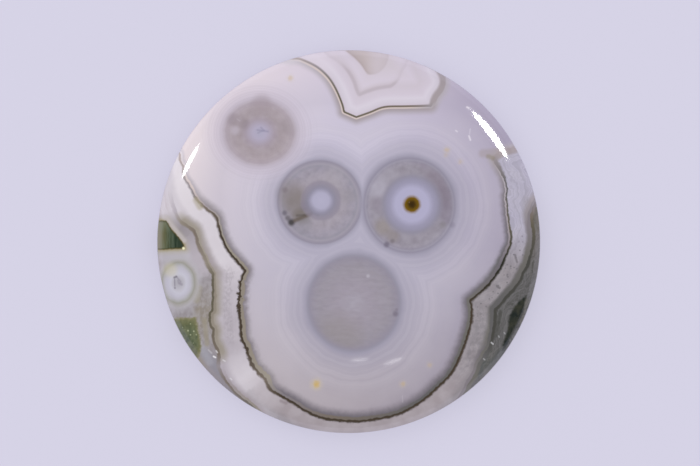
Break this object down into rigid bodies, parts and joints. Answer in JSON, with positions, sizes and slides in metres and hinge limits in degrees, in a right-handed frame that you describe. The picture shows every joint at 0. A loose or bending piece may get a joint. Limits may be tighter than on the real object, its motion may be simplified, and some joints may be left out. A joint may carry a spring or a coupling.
{
  "type": "ocean jasper cabochon",
  "caption": "Round polished ocean jasper cabochon with a low dome, a narrow leaning girdle and a flat back, for setting in a bezel or lying on its back.",
  "frame": {"origin": "centre of the flat back, on the surface that the stone rests on", "axes": "+Z out of the back through the dome's apex, +Y towards the top of the pattern as pictured, +X to the pattern's right"},
  "size_m": [0.035, 0.035, 0.0065],
  "materials": {
    "polished_jasper": "polished"
  },
  "bodies": {
    "root": {"cabochon": "polished_jasper"}
  },
  "joints": []
}
